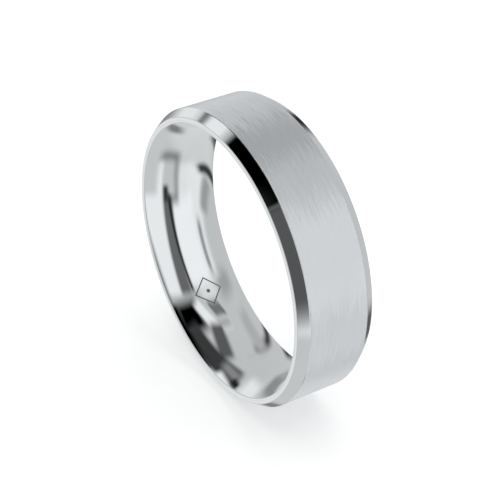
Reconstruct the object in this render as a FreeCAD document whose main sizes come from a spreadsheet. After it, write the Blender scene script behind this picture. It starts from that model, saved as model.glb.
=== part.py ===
"""Flat-profile comfort-fit wedding band, made of two rings.

outer_band is the heavy ring: a flat outer face with a bevel along each edge,
two narrow flat side faces and a plain cylindrical seat inside.
comfort_liner is the sleeve pressed into that seat: its bore is domed, so that
only the crown touches the finger, and it carries a small engraved lozenge.

Frame: the ring's axis is Y, Z is up, and the origin is the bore's centre.
All lengths are in millimetres.
"""

import FreeCAD
import Part

import math
import os

import Sketcher
from FreeCAD import Placement, Rotation, Vector

# Driving dimensions: alias, value, meaning.
DIMENSIONS = (
    ("outer_diameter", 22.0, "across the flat outer face"),
    ("band_width", 6.0, "between the two side faces"),
    ("bore_diameter", 18.8, "at the bore's crown, a size 59 finger"),
    ("seat_diameter", 20.5, "where the liner meets the outer band"),
    ("bevel_drop", 0.5, "bevel, measured towards the axis"),
    ("bevel_width", 0.73, "bevel, measured along the axis"),
    ("face_edge_round", 0.15, "round between the outer face and a bevel"),
    ("side_edge_round", 0.08, "round between a bevel and a side face"),
    ("dome_radius", 5.5, "section radius of the comfort dome"),
    ("crown_land", 0.6, "width of the straight land at the crown"),
    ("liner_end_round", 0.12, "round at each end of the liner's bore"),
    ("mark_angle", 230.0, "place of the mark, degrees from +X towards +Z"),
    ("mark_size", 2.3, "corner to corner of the lozenge"),
    ("mark_line", 0.1, "width of the engraved outline"),
    ("mark_dot", 0.3, "diameter of the dot inside the lozenge"),
    ("mark_depth", 0.05, "depth of the engraving"),
)

# Sketch geometry ids of the sketch's own axes.
HORIZONTAL_AXIS = -1
VERTICAL_AXIS = -2

# Ends and centre of a sketch edge.
START = 1
END = 2
CENTRE = 3

value = {alias: number for alias, number, _ in DIMENSIONS}
document = FreeCAD.newDocument("wedding_band")


def add_sheet():
    """Write the driving dimensions to the document's spreadsheet."""
    sheet = document.addObject("Spreadsheet::Sheet", "dims")
    for row, (alias, number, meaning) in enumerate(DIMENSIONS, start=1):
        sheet.set(f"A{row}", alias)
        sheet.set(f"B{row}", str(number))
        sheet.set(f"C{row}", meaning)
        sheet.setAlias(f"B{row}", alias)
    document.recompute()


def add_body(name):
    """Return an empty PartDesign body at the origin."""
    body = document.addObject("PartDesign::Body", name)
    body.Placement = Placement()
    return body


def add_sketch(body, name, role="XY_Plane"):
    """Return a sketch on one of the body's own origin planes."""
    plane = next(f for f in body.Origin.OriginFeatures if f.Role == role)
    sketch = body.newObject("Sketcher::SketchObject", name)
    sketch.AttachmentSupport = [(plane, "")]
    sketch.MapMode = "FlatFace"
    return sketch


def add_chain(sketch, corners):
    """Draw a closed chain of lines through the corners; return their ids."""
    ids = []
    for here, there in zip(corners, corners[1:] + corners[:1]):
        line = Part.LineSegment(Vector(*here, 0), Vector(*there, 0))
        ids.append(sketch.addGeometry(line, False))
    for this_line, next_line in zip(ids, ids[1:] + ids[:1]):
        join(sketch, this_line, next_line)
    return ids


def add_arc(sketch, centre, radius, first_angle, last_angle):
    """Draw an arc that turns anticlockwise between two angles in degrees."""
    circle = Part.Circle(Vector(*centre, 0), Vector(0, 0, 1), radius)
    arc = Part.ArcOfCircle(circle, math.radians(first_angle), math.radians(last_angle))
    return sketch.addGeometry(arc, False)


def add_line(sketch, here, there):
    """Draw one straight edge."""
    return sketch.addGeometry(Part.LineSegment(Vector(*here, 0), Vector(*there, 0)), False)


def join(sketch, this_edge, next_edge):
    """Join the end of one edge to the start of the next."""
    sketch.addConstraint(Sketcher.Constraint("Coincident", this_edge, END, next_edge, START))


def blend(sketch, this_edge, next_edge):
    """Join two edges end to start with a common tangent."""
    sketch.addConstraint(Sketcher.Constraint("Tangent", this_edge, END, next_edge, START))


def mirror(sketch, edge, point, other_edge, other_point, axis=HORIZONTAL_AXIS):
    """Make two points mirror images about a sketch axis."""
    sketch.addConstraint(
        Sketcher.Constraint("Symmetric", edge, point, other_edge, other_point, axis)
    )


def drive(sketch, kind, references, start_value, name, expression):
    """Add a named dimension and bind it to the sheet."""
    index = sketch.addConstraint(Sketcher.Constraint(kind, *references, start_value))
    sketch.renameConstraint(index, name)
    sketch.setExpression(f"Constraints.{name}", expression)


def revolve(body, sketch, name):
    """Turn a sketch once round the ring's axis, which is the sketch's vertical axis."""
    revolution = body.newObject("PartDesign::Revolution", name)
    revolution.Profile = sketch
    revolution.ReferenceAxis = (sketch, ["V_Axis"])
    revolution.Angle = 360
    sketch.Visibility = False
    return revolution


def circles_of_radius(shape, radius):
    """Names of the shape's circular edges of one radius."""
    names = []
    for number, edge in enumerate(shape.Edges, start=1):
        if isinstance(edge.Curve, Part.Circle) and abs(edge.Curve.Radius - radius) < 1e-4:
            names.append(f"Edge{number}")
    return names


def round_edges(body, base, name, radius_of_edges, alias):
    """Round every circular edge of one radius by a sheet dimension."""
    fillet = body.newObject("PartDesign::Fillet", name)
    fillet.Base = (base, circles_of_radius(base.Shape, radius_of_edges))
    fillet.setExpression("Radius", f"dims.{alias}")
    document.recompute()
    return fillet


def make_outer_band():
    """The outer ring: flat face, two bevels, two side faces and the seat."""
    outer_radius = value["outer_diameter"] / 2
    seat_radius = value["seat_diameter"] / 2
    side_radius = outer_radius - value["bevel_drop"]
    side = value["band_width"] / 2
    face_end = side - value["bevel_width"]

    body = add_body("outer_band")
    sketch = add_sketch(body, "band_section")
    low_side, low_bevel, face, _, high_side, seat = add_chain(
        sketch,
        [
            (seat_radius, -side),
            (side_radius, -side),
            (outer_radius, -face_end),
            (outer_radius, face_end),
            (side_radius, side),
            (seat_radius, side),
        ],
    )
    sketch.addConstraint(Sketcher.Constraint("Horizontal", low_side))
    mirror(sketch, seat, START, seat, END)
    mirror(sketch, low_bevel, START, high_side, START)
    mirror(sketch, face, START, face, END)
    drive(sketch, "DistanceX", (seat, START), seat_radius, "seat_radius",
          "dims.seat_diameter / 2")
    drive(sketch, "DistanceX", (low_bevel, END), outer_radius, "outer_radius",
          "dims.outer_diameter / 2")
    drive(sketch, "DistanceX", (low_bevel, START, low_bevel, END), value["bevel_drop"],
          "bevel_drop", "dims.bevel_drop")
    drive(sketch, "DistanceY", (low_bevel, START, low_bevel, END), value["bevel_width"],
          "bevel_width", "dims.bevel_width")
    drive(sketch, "DistanceY", (seat, END, seat, START), value["band_width"],
          "band_width", "dims.band_width")

    ring = revolve(body, sketch, "band_ring")
    document.recompute()
    soft_face = round_edges(body, ring, "face_edges", outer_radius, "face_edge_round")
    round_edges(body, soft_face, "side_edges", side_radius, "side_edge_round")
    return body


def make_liner_blank():
    """The plain sleeve: a cylinder outside, a domed bore inside."""
    seat_radius = value["seat_diameter"] / 2
    crown_radius = value["bore_diameter"] / 2
    dome_radius = value["dome_radius"]
    end_round = value["liner_end_round"]
    side = value["band_width"] / 2
    land = value["crown_land"] / 2

    # The end round touches the dome from inside, so the two centres are
    # dome_radius - end_round apart, and their line gives the common normal.
    rise = side - end_round - land
    run = math.sqrt((dome_radius - end_round) ** 2 - rise**2)
    dome_centre = crown_radius + dome_radius
    round_centre = dome_centre - run
    slope = math.degrees(math.atan2(rise, run))
    touch_x = round_centre - end_round * math.cos(math.radians(slope))
    if round_centre > seat_radius:
        raise ValueError("the dome is too deep for the seat")

    body = add_body("liner_blank")
    sketch = add_sketch(body, "liner_section")
    seat = add_line(sketch, (seat_radius, -side), (seat_radius, side))
    high_end = add_line(sketch, (seat_radius, side), (round_centre, side))
    high_round = add_arc(sketch, (round_centre, side - end_round), end_round, 90, 180 - slope)
    high_dome = add_arc(sketch, (dome_centre, land), dome_radius, 180 - slope, 180)
    crown = add_line(sketch, (crown_radius, land), (crown_radius, -land))
    low_dome = add_arc(sketch, (dome_centre, -land), dome_radius, 180, 180 + slope)
    low_round = add_arc(sketch, (round_centre, end_round - side), end_round, 180 + slope, 270)
    low_end = add_line(sketch, (round_centre, -side), (seat_radius, -side))

    join(sketch, seat, high_end)
    join(sketch, low_end, seat)
    smooth_run = (high_end, high_round, high_dome, crown, low_dome, low_round, low_end)
    for this_edge, next_edge in zip(smooth_run, smooth_run[1:]):
        blend(sketch, this_edge, next_edge)
    mirror(sketch, seat, START, seat, END)
    mirror(sketch, crown, START, crown, END)
    sketch.addConstraint(Sketcher.Constraint("Horizontal", high_end))
    sketch.addConstraint(Sketcher.Constraint("Horizontal", low_end))
    sketch.addConstraint(Sketcher.Constraint("Equal", high_dome, low_dome))
    sketch.addConstraint(Sketcher.Constraint("Equal", high_round, low_round))
    drive(sketch, "Radius", (high_dome,), dome_radius, "dome_radius", "dims.dome_radius")
    drive(sketch, "Radius", (high_round,), end_round, "end_round", "dims.liner_end_round")
    drive(sketch, "DistanceX", (crown, START), crown_radius, "crown_radius",
          "dims.bore_diameter / 2")
    drive(sketch, "DistanceX", (seat, START), seat_radius, "seat_radius",
          "dims.seat_diameter / 2")
    drive(sketch, "DistanceY", (seat, START, seat, END), value["band_width"],
          "liner_width", "dims.band_width")
    drive(sketch, "DistanceY", (crown, END, crown, START), value["crown_land"],
          "crown_land", "dims.crown_land")
    if touch_x <= crown_radius:
        raise ValueError("the liner's end round has swallowed the dome")

    revolve(body, sketch, "liner_ring")
    document.recompute()
    return body


def add_lozenge(sketch, diagonal, name, expression):
    """Draw a square stood on its corner, centred on the sketch's origin."""
    half = diagonal / 2
    edges = add_chain(sketch, [(half, 0), (0, half), (-half, 0), (0, -half)])
    right, top, left, bottom = ((edge, START) for edge in edges)
    sketch.addConstraint(Sketcher.Constraint("PointOnObject", *right, HORIZONTAL_AXIS))
    sketch.addConstraint(Sketcher.Constraint("PointOnObject", *top, VERTICAL_AXIS))
    mirror(sketch, *right, *left, VERTICAL_AXIS)
    mirror(sketch, *top, *bottom, HORIZONTAL_AXIS)
    drive(sketch, "DistanceX", (*left, *right), diagonal, f"{name}_across", expression)
    drive(sketch, "DistanceY", (*bottom, *top), diagonal, f"{name}_along", expression)


def make_mark_stamp():
    """A straight prism of the lozenge outline and its dot, through the liner's wall."""
    body = add_body("mark_stamp")
    sketch = add_sketch(body, "mark_outline")
    sketch.AttachmentOffset = Placement(
        Vector(0, 0, 0), Rotation(Vector(0, 1, 0), 90 - value["mark_angle"])
    )
    sketch.setExpression("AttachmentOffset.Rotation.Angle", "90deg - dims.mark_angle * 1deg")

    corner_gap = 2 * math.sqrt(2) * value["mark_line"]
    add_lozenge(sketch, value["mark_size"], "outer", "dims.mark_size")
    add_lozenge(sketch, value["mark_size"] - corner_gap, "inner",
                "dims.mark_size - 2 * sqrt(2) * dims.mark_line")
    dot = sketch.addGeometry(
        Part.Circle(Vector(0, 0, 0), Vector(0, 0, 1), value["mark_dot"] / 2), False
    )
    sketch.addConstraint(Sketcher.Constraint("Coincident", dot, CENTRE, -1, 1))
    drive(sketch, "Diameter", (dot,), value["mark_dot"], "dot", "dims.mark_dot")

    pad = body.newObject("PartDesign::Pad", "mark_prism")
    pad.Profile = sketch
    pad.setExpression("Length", "dims.outer_diameter / 2")
    sketch.Visibility = False
    document.recompute()
    return body


def make_mark_floor():
    """A ring whose outside is the engraving's floor: the bore surface, mark_depth deeper."""
    crown_radius = value["bore_diameter"] / 2
    depth = value["mark_depth"]
    floor_radius = value["dome_radius"] - depth
    dome_centre = crown_radius + value["dome_radius"]
    inner_radius = crown_radius - value["mark_size"] / 2
    land = value["crown_land"] / 2
    half_width = value["mark_size"] / 2 + depth
    slope = math.degrees(math.asin((half_width - land) / floor_radius))
    floor_end = dome_centre - floor_radius * math.cos(math.radians(slope))

    body = add_body("mark_floor")
    sketch = add_sketch(body, "floor_section")
    inner = add_line(sketch, (inner_radius, -half_width), (inner_radius, half_width))
    high_side = add_line(sketch, (inner_radius, half_width), (floor_end, half_width))
    high_dome = add_arc(sketch, (dome_centre, land), floor_radius, 180 - slope, 180)
    crown = add_line(sketch, (crown_radius + depth, land), (crown_radius + depth, -land))
    low_dome = add_arc(sketch, (dome_centre, -land), floor_radius, 180, 180 + slope)
    low_side = add_line(sketch, (floor_end, -half_width), (inner_radius, -half_width))

    join(sketch, inner, high_side)
    join(sketch, high_side, high_dome)
    blend(sketch, high_dome, crown)
    blend(sketch, crown, low_dome)
    join(sketch, low_dome, low_side)
    join(sketch, low_side, inner)
    mirror(sketch, inner, START, inner, END)
    mirror(sketch, crown, START, crown, END)
    sketch.addConstraint(Sketcher.Constraint("Horizontal", high_side))
    sketch.addConstraint(Sketcher.Constraint("Horizontal", low_side))
    sketch.addConstraint(Sketcher.Constraint("Equal", high_dome, low_dome))
    drive(sketch, "Radius", (high_dome,), floor_radius, "floor_radius",
          "dims.dome_radius - dims.mark_depth")
    drive(sketch, "DistanceX", (crown, START), crown_radius + depth, "floor_crown",
          "dims.bore_diameter / 2 + dims.mark_depth")
    drive(sketch, "DistanceX", (inner, START), inner_radius, "inner_radius",
          "dims.bore_diameter / 2 - dims.mark_size / 2")
    drive(sketch, "DistanceY", (inner, START, inner, END), 2 * half_width, "floor_width",
          "dims.mark_size + 2 * dims.mark_depth")
    drive(sketch, "DistanceY", (crown, END, crown, START), value["crown_land"],
          "crown_land", "dims.crown_land")

    revolve(body, sketch, "floor_ring")
    document.recompute()
    return body


def make_comfort_liner():
    """The sleeve with the lozenge engraved to an even depth in its domed bore."""
    blank = make_liner_blank()
    engraving = document.addObject("Part::Common", "mark_engraving")
    engraving.Base = make_mark_stamp()
    engraving.Tool = make_mark_floor()
    liner = document.addObject("Part::Cut", "comfort_liner")
    liner.Base = blank
    liner.Tool = engraving
    liner.Placement = Placement()
    document.recompute()

    removed = blank.Shape.Volume - liner.Shape.Volume
    outline = 2 * math.sqrt(2) * (value["mark_size"] - math.sqrt(2) * value["mark_line"])
    expected = value["mark_depth"] * (
        outline * value["mark_line"] + math.pi * value["mark_dot"] ** 2 / 4
    )
    if abs(removed / expected - 1) > 0.15:
        raise ValueError(f"the engraving removes {removed:.5f} mm3, not about {expected:.5f}")
    return liner


def check_document():
    """Stop on any object that failed to compute."""
    for item in document.Objects:
        if {"Invalid", "Error"} & set(item.State):
            raise ValueError(f"{item.Name} failed: {item.State}")
        if item.isDerivedFrom("Sketcher::SketchObject") and item.solve() != 0:
            raise ValueError(f"{item.Name} has conflicting constraints")


def write_parts(parts):
    """Check each finished sub-part and write it as parts/NODE.step."""
    os.makedirs("parts", exist_ok=True)
    for node, item in parts.items():
        item.Label = node
        shape = item.Shape
        if shape.isNull() or not shape.isValid() or len(shape.Solids) != 1:
            raise ValueError(f"{node} is not one valid solid")
        shape.exportStep(f"parts/{node}.step")
        print(f"{node}: {shape.Volume:.3f} mm3, {len(shape.Faces)} faces")


add_sheet()
finished = {
    "outer_band": make_outer_band(),
    "comfort_liner": make_comfort_liner(),
}
document.recompute()
check_document()
write_parts(finished)
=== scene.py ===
"""Looks of the flat-profile comfort-fit wedding band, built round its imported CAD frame.

outer_band and comfort_liner are turned again here as finely stepped rings with
their small edge rounds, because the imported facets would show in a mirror
finish. The comfort liner's bore carries the engraved lozenge as real grooves.
All lengths are in metres; the ring's axis is Y, Z is up.
"""

import math

import bpy
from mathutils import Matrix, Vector
from mathutils.geometry import delaunay_2d_cdt


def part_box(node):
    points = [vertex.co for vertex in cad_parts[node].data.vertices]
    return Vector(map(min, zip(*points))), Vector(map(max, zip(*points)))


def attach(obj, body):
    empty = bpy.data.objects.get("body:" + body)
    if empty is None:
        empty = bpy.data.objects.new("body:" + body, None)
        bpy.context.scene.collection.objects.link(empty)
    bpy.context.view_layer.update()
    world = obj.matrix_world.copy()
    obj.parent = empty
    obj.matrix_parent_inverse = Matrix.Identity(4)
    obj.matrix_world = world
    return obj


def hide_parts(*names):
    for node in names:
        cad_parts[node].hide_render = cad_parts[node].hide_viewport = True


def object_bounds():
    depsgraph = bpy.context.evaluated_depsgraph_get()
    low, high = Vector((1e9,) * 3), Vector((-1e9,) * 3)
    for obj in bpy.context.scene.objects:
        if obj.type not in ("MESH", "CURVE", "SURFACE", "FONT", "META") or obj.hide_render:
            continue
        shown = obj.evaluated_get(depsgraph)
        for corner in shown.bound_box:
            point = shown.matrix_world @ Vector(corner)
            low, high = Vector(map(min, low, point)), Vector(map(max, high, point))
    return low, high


MM = 0.001

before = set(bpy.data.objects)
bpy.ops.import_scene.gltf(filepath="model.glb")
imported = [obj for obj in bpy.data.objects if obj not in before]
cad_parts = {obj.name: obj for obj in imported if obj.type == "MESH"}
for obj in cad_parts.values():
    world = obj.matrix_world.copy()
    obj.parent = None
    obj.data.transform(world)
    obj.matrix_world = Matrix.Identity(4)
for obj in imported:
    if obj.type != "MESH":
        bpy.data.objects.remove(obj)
cad_low, cad_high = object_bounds()
band_low, band_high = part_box("outer_band")
liner_low, liner_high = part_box("comfort_liner")

OUTER_R = band_high.x
SIDE = band_high.y
SEAT_R = liner_high.x

# Section of the outer band.
BEVEL_DROP = 0.5 * MM
BEVEL_WIDTH = 0.73 * MM
FACE_EDGE_ROUND = 0.15 * MM
SIDE_EDGE_ROUND = 0.08 * MM
SEAM_ROUND = 0.012 * MM

# Section of the comfort liner.
CROWN_R = 9.4 * MM
DOME_R = 5.5 * MM
CROWN_LAND = 0.3 * MM
END_ROUND = 0.12 * MM

# Engraved lozenge.
MARK_ANGLE = math.radians(230)
MARK_HALF = 1.15 * MM
MARK_LINE = 0.1 * MM
MARK_DOT_R = 0.15 * MM
MARK_DEPTH = 0.05 * MM
MARK_DRAFT = 0.012 * MM

COLUMNS = 720

# The mark's window in the bore: half its length along Y, half its count of columns.
WINDOW_Y = 1.6 * MM
WINDOW_COLUMNS = 18
WINDOW_ROWS = 32
END_ROWS = 12
MARK_COLUMN = round(MARK_ANGLE / (2 * math.pi) * COLUMNS)
BORE_INSET = 0.2 * MM
MARK_STEP = 0.08 * MM
MARK_CLEARANCE = 0.02 * MM
DOT_STEPS = 32
TOLERANCE = 1e-9

# Kinds of face in the liner: material slots 0 and 1, and the flat walls share slot 1.
PLAIN, ENGRAVED, WALL = 0, 1, 2


# ---------------------------------------------------------------- sections
# Each section point is (radius, place along Y, radial and axial part of its normal).

def arc(centre, radius, first, last, steps):
    """Points and outward normals along an arc of the section, angles in degrees."""
    points = []
    for i in range(steps + 1):
        a = math.radians(first + (last - first) * i / steps)
        n = (math.cos(a), math.sin(a))
        points.append((centre[0] + radius * n[0], centre[1] + radius * n[1], n[0], n[1]))
    return points


def rounded(corners):
    """Closed section of (radius, along, round, steps) corners with outward normals."""
    points = []
    count = len(corners)
    for i, (r, y, size, steps) in enumerate(corners):
        here = Vector((r, y))
        before = Vector(corners[i - 1][:2]) - here
        after = Vector(corners[(i + 1) % count][:2]) - here
        before.normalize()
        after.normalize()
        half = before.angle(after) / 2
        centre = here + (before + after).normalized() * (size / math.sin(half))
        start = here + before * (size / math.tan(half)) - centre
        end = here + after * (size / math.tan(half)) - centre
        first = math.atan2(start.y, start.x)
        sweep = math.atan2(start.x * end.y - start.y * end.x, start.dot(end))
        points += arc(centre, size, math.degrees(first), math.degrees(first + sweep), steps)
    return points


def merge_close(points):
    """Drop points that repeat the one before."""
    kept = []
    for p in points:
        if not kept or math.hypot(p[0] - kept[-1][0], p[1] - kept[-1][1]) > TOLERANCE:
            kept.append(p)
    return kept


def band_section():
    """Outer band section, anticlockwise with radius to the right and Y up."""
    side_r = OUTER_R - BEVEL_DROP
    face_y = SIDE - BEVEL_WIDTH
    return rounded([
        (SEAT_R, -SIDE, SEAM_ROUND, 3),
        (side_r, -SIDE, SIDE_EDGE_ROUND, 6),
        (OUTER_R, -face_y, FACE_EDGE_ROUND, 8),
        (OUTER_R, face_y, FACE_EDGE_ROUND, 8),
        (side_r, SIDE, SIDE_EDGE_ROUND, 6),
        (SEAT_R, SIDE, SEAM_ROUND, 3),
    ])


# The dome's arc from the land to where the end round takes over.
RISE = SIDE - END_ROUND - CROWN_LAND
RUN = math.sqrt((DOME_R - END_ROUND) ** 2 - RISE ** 2)
DOME_CENTRE = CROWN_R + DOME_R
SLOPE = math.degrees(math.atan2(RISE, RUN))


def bore_radius(y):
    """Radius of the domed bore at one place along the axis."""
    over = max(abs(y) - CROWN_LAND, 0)
    return DOME_CENTRE - math.sqrt(DOME_R ** 2 - over ** 2)


def bore_normal(y):
    """Radial and axial part of the bore's outward normal."""
    over = math.copysign(max(abs(y) - CROWN_LAND, 0), y)
    lean = math.asin(over / DOME_R)
    return -math.cos(lean), math.sin(lean)


def liner_section():
    """Comfort liner section: seat, ends, end rounds, and the dome in even steps along Y."""
    round_r = DOME_CENTRE - RUN
    seam = [
        (SEAT_R, -SIDE, SEAM_ROUND, 3),
        (SEAT_R, SIDE, SEAM_ROUND, 3),
    ]
    corner = rounded([(round_r, -SIDE, 0.001 * MM, 1), *seam, (round_r, SIDE, 0.001 * MM, 1)])
    outside = [p for p in corner if p[0] > round_r + 0.005 * MM]
    high_round = arc((round_r, SIDE - END_ROUND), END_ROUND, 90, 180 - SLOPE, 7)
    low_round = arc((round_r, END_ROUND - SIDE), END_ROUND, 180 + SLOPE, 270, 7)
    dome = []
    for y in DOME_ROWS:
        radial, axial = bore_normal(y)
        dome.append((bore_radius(y), y, radial, axial))
    return merge_close(outside + high_round + dome + low_round)


def dome_rows():
    """Places along Y of the dome's rows, from high to low, closer in the mark's window."""
    end = CROWN_LAND + DOME_R * math.sin(math.radians(SLOPE))
    window = [WINDOW_Y * (1 - i / (WINDOW_ROWS / 2)) for i in range(WINDOW_ROWS + 1)]
    outer = [end + (WINDOW_Y - end) * i / END_ROWS for i in range(1, END_ROWS)]
    return outer + window + [-y for y in reversed(outer)]


DOME_ROWS = dome_rows()


# ------------------------------------------------------------------ meshes

def column_angle(k):
    """Angle of one column of vertices round the ring."""
    return 2 * math.pi * k / COLUMNS


def revolve(section, skip=None):
    """Vertices, faces and vertex normals of a section turned once round Y."""
    count = len(section)
    verts, normals, faces = [], [], []
    for k in range(COLUMNS):
        c, s = math.cos(column_angle(k)), math.sin(column_angle(k))
        for r, y, radial, axial in section:
            verts.append((r * c, y, r * s))
            normals.append((radial * c, axial, radial * s))
    for k in range(COLUMNS):
        following = (k + 1) % COLUMNS
        for j in range(count):
            above = (j + 1) % count
            if skip and skip(k, section[j][1], section[above][1], section[j][0]):
                continue
            faces.append((k * count + j, k * count + above,
                          following * count + above, following * count + j))
    return verts, faces, normals


def in_window(k, y, y_next, r):
    """True for a quad of the bore inside the mark's window."""
    across = abs(k + 0.5 - MARK_COLUMN) < WINDOW_COLUMNS
    along = max(abs(y), abs(y_next)) < WINDOW_Y + TOLERANCE
    return across and along and r < SEAT_R - BORE_INSET


def lozenge_points(half):
    """Corners of the lozenge in the unrolled bore: along the arc, along Y."""
    return [(half, 0), (0, half), (-half, 0), (0, -half)]


def split_edges(corners, step):
    """Points along a closed outline, no further apart than step."""
    points = []
    for a, b in zip(corners, corners[1:] + corners[:1]):
        length = math.hypot(b[0] - a[0], b[1] - a[1])
        parts = max(1, round(length / step))
        points += [(a[0] + (b[0] - a[0]) * i / parts, a[1] + (b[1] - a[1]) * i / parts)
                   for i in range(parts)]
    return points


def depth_at(u, v):
    """Depth of the engraving at a place in the unrolled bore."""
    root2 = math.sqrt(2)
    across_line = (MARK_HALF - (abs(u) + abs(v))) / root2
    inside_line = min(across_line, MARK_LINE - across_line)
    inside_dot = MARK_DOT_R - math.hypot(u, v)
    inside = max(inside_line, inside_dot)
    return MARK_DEPTH * min(max(inside / MARK_DRAFT, 0), 1)


def mark_window(section, verts, normals):
    """Triangles of the mark's window, sharing its border vertices with the ring."""
    rows = [j for j, p in enumerate(section)
            if p[0] < SEAT_R - BORE_INSET and abs(p[1]) < WINDOW_Y + TOLERANCE]
    columns = range(MARK_COLUMN - WINDOW_COLUMNS, MARK_COLUMN + WINDOW_COLUMNS + 1)
    count = len(section)
    root2 = math.sqrt(2)
    outlines = []
    for gap in (0, MARK_DRAFT, MARK_LINE - MARK_DRAFT, MARK_LINE):
        outlines.append(split_edges(lozenge_points(MARK_HALF - root2 * gap), MARK_STEP))
    for radius in (MARK_DOT_R, MARK_DOT_R - MARK_DRAFT):
        outlines.append([(radius * math.cos(2 * math.pi * i / DOT_STEPS),
                          radius * math.sin(2 * math.pi * i / DOT_STEPS))
                         for i in range(DOT_STEPS)])

    flat, source = [], []
    for k in columns:
        for j in rows:
            u = (column_angle(k) - MARK_ANGLE) * CROWN_R
            v = section[j][1]
            border = k in (columns[0], columns[-1]) or j in (rows[0], rows[-1])
            line_gap = abs(abs(u) + abs(v) - (MARK_HALF - root2 * MARK_LINE / 2)) / root2
            near_line = line_gap < MARK_LINE / 2 + MARK_CLEARANCE
            near_dot = math.hypot(u, v) < MARK_DOT_R + MARK_CLEARANCE
            if border or not (near_line or near_dot):
                flat.append((u, v))
                source.append(k * count + j if border else None)
    edges = []
    for outline in outlines:
        start = len(flat)
        flat += outline
        source += [None] * len(outline)
        edges += [(start + i, start + (i + 1) % len(outline)) for i in range(len(outline))]

    scale = 1 / MM
    out_co, _, out_faces, origin, _, _ = delaunay_2d_cdt(
        [Vector(p) * scale for p in flat], edges, [], 0, 1e-6)
    index = []
    for co, came in zip(out_co, origin):
        known = next((source[i] for i in came if source[i] is not None), None)
        if known is not None:
            index.append(known)
            continue
        u, v = co.x * MM, co.y * MM
        angle = MARK_ANGLE + u / CROWN_R
        c, s = math.cos(angle), math.sin(angle)
        radial, axial = bore_normal(v)
        depth = depth_at(u, v)
        r = bore_radius(v) - radial * depth
        y = v - axial * depth
        index.append(len(verts))
        verts.append((r * c, y, r * s))
        normals.append((radial * c, axial, radial * s))

    faces, kinds = [], []
    for f in out_faces:
        middle = sum((out_co[i] for i in f), Vector((0, 0))) / len(f) * MM
        depths = [depth_at(out_co[i].x * MM, out_co[i].y * MM) for i in f]
        wall = max(depths) - min(depths) > MARK_DEPTH / 2
        engraved = depth_at(middle.x, middle.y) > 0.2 * MARK_DEPTH
        faces.append(tuple(index[i] for i in f))
        kinds.append(WALL if wall else (ENGRAVED if engraved else PLAIN))
    return faces, kinds


def build(name, verts, faces, normals, kinds, materials, flat_kinds=()):
    """Make an object whose smooth faces carry the section's exact normals."""
    mesh = bpy.data.meshes.new(name)
    mesh.from_pydata(verts, [], faces)
    for material in materials:
        mesh.materials.append(material)
    mesh.polygons.foreach_set("material_index", [min(k, len(materials) - 1) for k in kinds])
    mesh.polygons.foreach_set("use_smooth", [True] * len(faces))
    mesh.update()
    loops = []
    for polygon, kind in zip(mesh.polygons, kinds):
        for v in polygon.vertices:
            loops.append(polygon.normal[:] if kind in flat_kinds else normals[v])
    mesh.normals_split_custom_set(loops)
    obj = bpy.data.objects.new(name, mesh)
    # The photographed ring doesn't show in its own reflections, so neither does this one.
    obj.visible_glossy = False
    bpy.context.scene.collection.objects.link(obj)
    return obj


# --------------------------------------------------------------- materials

class Nodes:
    """A few shorthands for wiring a node tree."""

    def __init__(self, tree):
        self.tree = tree
        tree.nodes.clear()

    def add(self, kind, **values):
        """Add a node; plain keys set its properties."""
        node = self.tree.nodes.new(kind)
        for key, item in values.items():
            setattr(node, key, item)
        return node

    def link(self, out, into):
        """Link an output to an input."""
        self.tree.links.new(out, into)

    def feed(self, socket, item):
        """Link a socket, or set a plain value."""
        if isinstance(item, bpy.types.NodeSocket):
            self.link(item, socket)
        else:
            socket.default_value = item

    def math(self, operation, *items, clamp=False):
        """Math node."""
        node = self.add("ShaderNodeMath", operation=operation, use_clamp=clamp)
        for socket, item in zip(node.inputs, items):
            self.feed(socket, item)
        return node.outputs[0]

    def vector(self, operation, *items, scale=None):
        """Vector math node."""
        node = self.add("ShaderNodeVectorMath", operation=operation)
        for socket, item in zip(node.inputs, items):
            self.feed(socket, item)
        if scale is not None:
            self.feed(node.inputs["Scale"], scale)
        return node.outputs["Vector"]

    def ramp(self, item, low, high, out_low=0.0, out_high=1.0, smooth=True):
        """Map Range node."""
        node = self.add("ShaderNodeMapRange",
                        interpolation_type="SMOOTHSTEP" if smooth else "LINEAR")
        for key, number in (("Value", item), ("From Min", low), ("From Max", high),
                            ("To Min", out_low), ("To Max", out_high)):
            self.feed(node.inputs[key], number)
        return node.outputs[0]

    def mix(self, factor, first, second):
        """Mix two colours."""
        node = self.add("ShaderNodeMix", data_type="RGBA")
        self.feed(node.inputs[0], factor)
        self.feed(node.inputs[6], first)
        self.feed(node.inputs[7], second)
        return node.outputs[2]

    def noise(self, coordinates, scale, detail=2.0, roughness=0.5):
        """Noise of one scale per axis, from -0.5 to 0.5."""
        mapping = self.add("ShaderNodeMapping")
        mapping.inputs["Scale"].default_value = scale
        self.link(coordinates, mapping.inputs["Vector"])
        node = self.add("ShaderNodeTexNoise")
        node.inputs["Scale"].default_value = 1.0
        node.inputs["Detail"].default_value = detail
        node.inputs["Roughness"].default_value = roughness
        self.link(mapping.outputs[0], node.inputs["Vector"])
        return self.math("SUBTRACT", node.outputs["Fac"], 0.5)


def new_material(name):
    """An empty node material with a Principled shader and object coordinates."""
    material = bpy.data.materials.new(name)
    material.use_nodes = True
    nodes = Nodes(material.node_tree)
    shader = nodes.add("ShaderNodeBsdfPrincipled")
    output = nodes.add("ShaderNodeOutputMaterial")
    nodes.link(shader.outputs[0], output.inputs["Surface"])
    coordinates = nodes.add("ShaderNodeTexCoord").outputs["Object"]
    shader.inputs["Metallic"].default_value = 1.0
    return material, nodes, shader, coordinates


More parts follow.
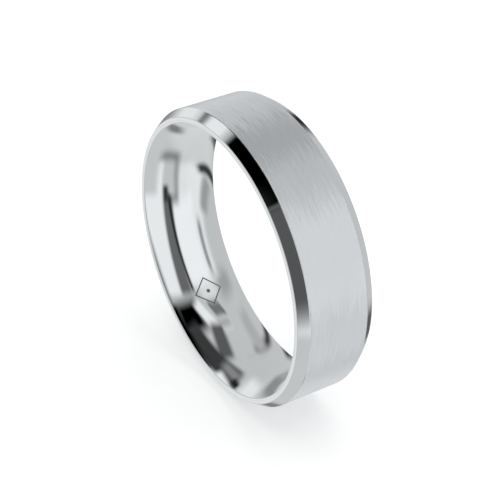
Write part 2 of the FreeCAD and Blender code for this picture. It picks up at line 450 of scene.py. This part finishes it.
def satin_brushed():
    """Hairlines brushed round the band: long streaks, a lean along the streak, light scatter."""
    material, nodes, shader, here = new_material("satin_brushed")
    geometry = nodes.add("ShaderNodeNewGeometry")
    round_ring = nodes.add("ShaderNodeTangent", direction_type="RADIAL", axis="Y")

    broad = nodes.noise(here, (420, 9000, 420), 3.0, 0.6)
    fine = nodes.noise(here, (600, 16000, 600), 3.0, 0.65)
    grain = nodes.noise(here, (1600, 42000, 1600), 2.0, 0.6)
    patches = nodes.noise(here, (160, 260, 160), 1.0)

    lean = nodes.math("ADD", nodes.math("MULTIPLY", broad, 0.30),
                      nodes.math("MULTIPLY", fine, 0.72))
    lean = nodes.math("ADD", lean, nodes.math("MULTIPLY", grain, 0.08))
    leaned = nodes.vector("ADD", geometry.outputs["Normal"],
                          nodes.vector("SCALE", round_ring.outputs[0], scale=lean))
    leaned = nodes.vector("NORMALIZE", leaned)

    bump = nodes.add("ShaderNodeBump")
    bump.inputs["Strength"].default_value = 1.0
    bump.inputs["Distance"].default_value = 0.0012 * MM
    nodes.link(nodes.math("ADD", fine, grain), bump.inputs["Height"])
    nodes.link(leaned, bump.inputs["Normal"])
    nodes.link(bump.outputs[0], shader.inputs["Normal"])

    tone = nodes.ramp(nodes.math("ADD", fine, nodes.math("MULTIPLY", broad, 0.7)),
                      -0.3, 0.3, 0.0, 1.0, smooth=False)
    nodes.link(nodes.mix(tone, (0.888, 0.904, 0.924, 1), (0.958, 0.974, 0.990, 1)),
               shader.inputs["Base Color"])
    rough = nodes.math("ADD", nodes.math("MULTIPLY", patches, 0.05),
                       nodes.math("MULTIPLY", grain, 0.10))
    nodes.link(nodes.math("ADD", rough, 0.335), shader.inputs["Roughness"])
    shader.inputs["Anisotropic"].default_value = 0.93
    shader.inputs["Anisotropic Rotation"].default_value = 0.25
    nodes.link(round_ring.outputs[0], shader.inputs["Tangent"])
    return material


def polished(name, low, high, roughness):
    """Mirror polish with the faint swirl of a polishing wheel and a few hair scratches."""
    material, nodes, shader, here = new_material(name)
    wipe = nodes.noise(here, (520, 9000, 520), 2.0)
    haze = nodes.noise(here, (210, 330, 210), 2.0)
    cross = nodes.noise(here, (5200, 700, 5200), 3.0, 0.7)

    swirl = nodes.math("ADD", nodes.math("MULTIPLY", wipe, 0.6),
                       nodes.math("MULTIPLY", cross, 0.4))
    bump = nodes.add("ShaderNodeBump")
    bump.inputs["Strength"].default_value = 1.0
    bump.inputs["Distance"].default_value = 0.00025 * MM
    nodes.link(swirl, bump.inputs["Height"])
    nodes.link(bump.outputs[0], shader.inputs["Normal"])

    tone = nodes.ramp(haze, -0.25, 0.25)
    nodes.link(nodes.mix(tone, (*low, 1), (*high, 1)), shader.inputs["Base Color"])
    hair = nodes.ramp(nodes.math("ABSOLUTE", cross), 0.0, 0.03, 1.0, 0.0)
    rough = nodes.math("ADD", nodes.math("MULTIPLY", haze, 0.02),
                       nodes.math("MULTIPLY", hair, 0.012))
    nodes.link(nodes.math("ADD", rough, roughness), shader.inputs["Roughness"])
    return material


def etched():
    """Laser-darkened floor of the engraving, slightly mottled."""
    material, nodes, shader, here = new_material("etched_mark")
    mottle = nodes.noise(here, (9000, 9000, 9000), 3.0, 0.7)
    tone = nodes.ramp(mottle, -0.3, 0.3)
    nodes.link(nodes.mix(tone, (0.15, 0.155, 0.16, 1), (0.29, 0.295, 0.30, 1)),
               shader.inputs["Base Color"])
    nodes.link(nodes.ramp(mottle, -0.3, 0.3, 0.42, 0.62), shader.inputs["Roughness"])
    bump = nodes.add("ShaderNodeBump")
    bump.inputs["Distance"].default_value = 0.004 * MM
    nodes.link(mottle, bump.inputs["Height"])
    nodes.link(bump.outputs[0], shader.inputs["Normal"])
    return material


# ------------------------------------------------------------------ pieces

def make_band():
    """The outer band: brushed outer face, polished bevels and sides."""
    section = band_section()
    verts, faces, normals = revolve(section)
    count = len(section)
    straight = []
    for j in range(count):
        a, b = section[j], section[(j + 1) % count]
        straight.append(min(a[0], b[0]) > OUTER_R - 0.004 * MM)
    kinds = [0 if straight[i % count] else 1 for i in range(len(faces))]
    return build("band_outer_ring", verts, faces, normals, kinds,
                 [satin_brushed(),
                  polished("polished_band", (0.775, 0.785, 0.795), (0.80, 0.808, 0.815), 0.035)])


def make_liner():
    """The comfort liner: polished dome with the engraved lozenge."""
    section = liner_section()
    verts, faces, normals = revolve(section, skip=in_window)
    kinds = [0] * len(faces)
    more_faces, more_kinds = mark_window(section, verts, normals)
    liner_polish = polished("polished_liner", (0.79, 0.80, 0.81), (0.815, 0.822, 0.83), 0.03)
    return build("band_comfort_liner", verts, faces + more_faces, normals, kinds + more_kinds,
                 [liner_polish, etched()], flat_kinds=(WALL,))


band = make_band()
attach(band, "root")
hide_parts("outer_band")

liner = make_liner()
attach(liner, "root")
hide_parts("comfort_liner")


# ------------------------------------------------------------------ studio

FLOOR_Z = cad_low.z
FLOOR_HALF = 0.6
FLOOR_GLOW = 0.36
OVERHEAD_SIZE = 0.6
OVERHEAD_HEIGHT = 0.5
OVERHEAD_ENERGY = 1.2
STUDIO_TINT = (0.975, 0.995, 1.0, 1)
ROOM_LEVEL = 0.64

# Soft boxes and flags, laid over the plain room in this order. A place
# on the studio's sphere is its turn round the ring's axis from +X towards +Z, and its tilt
# away from +Y. Each card: turn and tilt of its middle, half sizes, roll, and edge softness
# along and across, all in degrees, then its brightness.
CARDS = (
    ("face_box", 58, 56, 9, 17, 0, 4, 6, 0.85),
    ("face_flag", 62, 40, 14, 14, 0, 12, 10, 0.42),
    ("side_box", -10, 62, 60, 19, 0, 10, 6, 0.95),
    ("bright_strip", 10, 70, 42, 11, 0, 8, 5, 1.05),
    ("left_box", -100, 62, 30, 18, -25, 10, 8, 0.76),
    ("dark_line", 20, 52, 26, 3, 0, 10, 3, 0.33),
    ("pillow_rim", -52, 84, 28, 15, 0, 8, 5, 0.22),
    ("pillow", -50, 82, 20, 9, 0, 8, 5, 0.65),
    ("middle_flag", 12, 90, 44, 8, 5, 5, 3, 0.16),
    ("flag_edge", 12, 83, 44, 2, 0, 5, 2, 0.02),
    ("flag_end", -34, 88, 8, 5, 0, 4, 3, 0.05),
    ("crescent_box", -8, 109, 62, 14, 8, 5, 3, 1.00),
    ("black_flag", 76, 103, 15, 18, 0, 8, 8, 0.00),
    ("leaf_box", 84, 79, 21, 6, -25, 5, 3, 1.00),
    ("rear_flag", 108, 80, 19, 9, 20, 6, 4, 0.12),
    ("leaf_line", 78, 66, 9, 2.5, -20, 4, 2, 0.20),
    ("lens_flag", 118, 101, 36, 11, -15, 6, 4, 0.05),
    ("lens_box", 140, 92, 12, 5, -10, 6, 4, 0.28),
    ("low_box", 143, 109, 10, 8, 0, 4, 4, 1.00),
    ("low_flag", 153, 96, 5, 4, 0, 3, 3, 0.02),
    ("far_left_flag", -74, 38, 5, 18, -40, 4, 6, 0.05),
    ("far_right_flag", 150, 42, 5, 22, 40, 5, 6, 0.06),
    ("far_left_box", -40, 38, 22, 6, 5, 8, 5, 0.40),
    ("far_right_box", 125, 45, 25, 8, 20, 10, 6, 0.50),
    ("under_flag", 14, 129, 50, 7, 0, 3, 4, 0.11),
    ("under_black_flag", 95, 121, 33, 8, -8, 4, 4, 0.00),
    ("under_box", -82, 100, 46, 13, 15, 6, 5, 0.68),
    ("under_left_box", -141, 116, 16, 11, 0, 6, 6, 0.93),
    ("rear_left_flag", -116, 44, 9, 8, 0, 5, 5, 0.12),
    ("rear_middle_flag", -170, 42, 9, 6, 0, 5, 5, 0.03),
    ("rear_shade", -160, 72, 12, 9, 0, 6, 6, 0.30),
    ("rear_left_shade", -118, 77, 8, 5, 0, 5, 4, 0.24),
    ("rear_box", 172, 90, 10, 12, 0, 6, 6, 0.95),
)


def make_world():
    """A plain studio: soft boxes and flags by direction round the ring."""
    world = bpy.data.worlds.new("studio")
    bpy.context.scene.world = world
    world.use_nodes = True
    nodes = Nodes(world.node_tree)
    parts = nodes.add("ShaderNodeSeparateXYZ")
    direction = nodes.add("ShaderNodeTexCoord").outputs["Generated"]
    nodes.link(nodes.vector("NORMALIZE", direction), parts.inputs[0])
    turn = nodes.math("ARCTAN2", parts.outputs["Z"], parts.outputs["X"])
    tilt = nodes.math("ARCCOSINE", parts.outputs["Y"])

    level = ROOM_LEVEL
    for card in CARDS:
        card_turn, card_tilt, half_u, half_v, roll, soft_u, soft_v = map(math.radians, card[1:8])
        over = nodes.math("WRAP", nodes.math("SUBTRACT", turn, card_turn), math.pi, -math.pi)
        down = nodes.math("SUBTRACT", tilt, card_tilt)
        c, s = math.cos(roll), math.sin(roll)
        u = nodes.math("MULTIPLY_ADD", over, c, nodes.math("MULTIPLY", down, s))
        v = nodes.math("MULTIPLY_ADD", over, -s, nodes.math("MULTIPLY", down, c))
        cover_u = nodes.ramp(nodes.math("ABSOLUTE", u), half_u - soft_u, half_u + soft_u, 1, 0)
        cover_v = nodes.ramp(nodes.math("ABSOLUTE", v), half_v - soft_v, half_v + soft_v, 1, 0)
        cover = nodes.math("MULTIPLY", cover_u, cover_v)
        level = nodes.math("MULTIPLY_ADD", cover, nodes.math("SUBTRACT", card[8], level), level)
    background = nodes.add("ShaderNodeBackground")
    background.inputs["Color"].default_value = STUDIO_TINT
    nodes.link(level, background.inputs["Strength"])
    output = nodes.add("ShaderNodeOutputWorld")
    nodes.link(background.outputs[0], output.inputs["Surface"])


def make_floor():
    """A large pale satin floor, left out of reflections so that the ring sees the studio."""
    half = FLOOR_HALF
    mesh = bpy.data.meshes.new("studio_floor")
    mesh.from_pydata([(-half, -half, FLOOR_Z), (half, -half, FLOOR_Z),
                      (half, half, FLOOR_Z), (-half, half, FLOOR_Z)], [], [(0, 1, 2, 3)])
    floor = bpy.data.objects.new("studio_floor", mesh)
    bpy.context.scene.collection.objects.link(floor)
    material, nodes, shader, here = new_material("pale_floor")
    shader.inputs["Metallic"].default_value = 0.0
    shader.inputs["IOR"].default_value = 1.45
    cloud = nodes.ramp(nodes.noise(here, (30, 30, 30), 1.0), -0.5, 0.5)
    nodes.link(nodes.mix(cloud, (0.93, 0.93, 0.93, 1), (0.95, 0.95, 0.95, 1)),
               shader.inputs["Base Color"])
    nodes.link(nodes.ramp(cloud, 0, 1, 0.38, 0.46), shader.inputs["Roughness"])
    shader.inputs["Emission Color"].default_value = (1, 1, 1, 1)
    shader.inputs["Emission Strength"].default_value = FLOOR_GLOW
    mesh.materials.append(material)
    floor.visible_glossy = False
    return floor


def make_overhead():
    """A wide overhead softbox, kept out of reflections: it lights the floor alone."""
    data = bpy.data.lights.new("overhead_softbox", "AREA")
    data.shape = "SQUARE"
    data.size = OVERHEAD_SIZE
    data.energy = OVERHEAD_ENERGY
    overhead = bpy.data.objects.new("overhead_softbox", data)
    overhead.location = (0, 0, FLOOR_Z + OVERHEAD_HEIGHT)
    overhead.visible_glossy = False
    bpy.context.scene.collection.objects.link(overhead)


make_world()
make_floor()
make_overhead()


# ------------------------------------------------------------------ camera

CAMERA_AZIMUTH = math.radians(57.81)
CAMERA_ELEVATION = math.radians(33.86)
CAMERA_DISTANCE = 107.74 * MM
FRAME_PIXELS = 500
FOCAL_PIXELS = 1518.98
SENSOR = 36.0
CAMERA_SHIFT = (-0.001, -0.0006)
CLIP_START = 0.005
CLIP_END = 10


def make_camera():
    """The camera looks at the ring's centre from the photograph's viewing angle."""
    data = bpy.data.cameras.new("studio_camera")
    data.sensor_width = SENSOR
    data.lens = SENSOR * FOCAL_PIXELS / FRAME_PIXELS
    data.shift_x, data.shift_y = CAMERA_SHIFT
    data.clip_start = CLIP_START
    data.clip_end = CLIP_END
    camera = bpy.data.objects.new("studio_camera", data)
    bpy.context.scene.collection.objects.link(camera)
    back = Vector((math.sin(CAMERA_AZIMUTH) * math.cos(CAMERA_ELEVATION),
                   -math.cos(CAMERA_AZIMUTH) * math.cos(CAMERA_ELEVATION),
                   math.sin(CAMERA_ELEVATION)))
    camera.location = (cad_low + cad_high) / 2 + back * CAMERA_DISTANCE
    camera.rotation_mode = "QUATERNION"
    camera.rotation_quaternion = (-back).to_track_quat("-Z", "Y")
    bpy.context.scene.camera = camera


make_camera()
bpy.context.scene.view_settings.view_transform = "Standard"
bpy.context.scene.view_settings.look = "None"
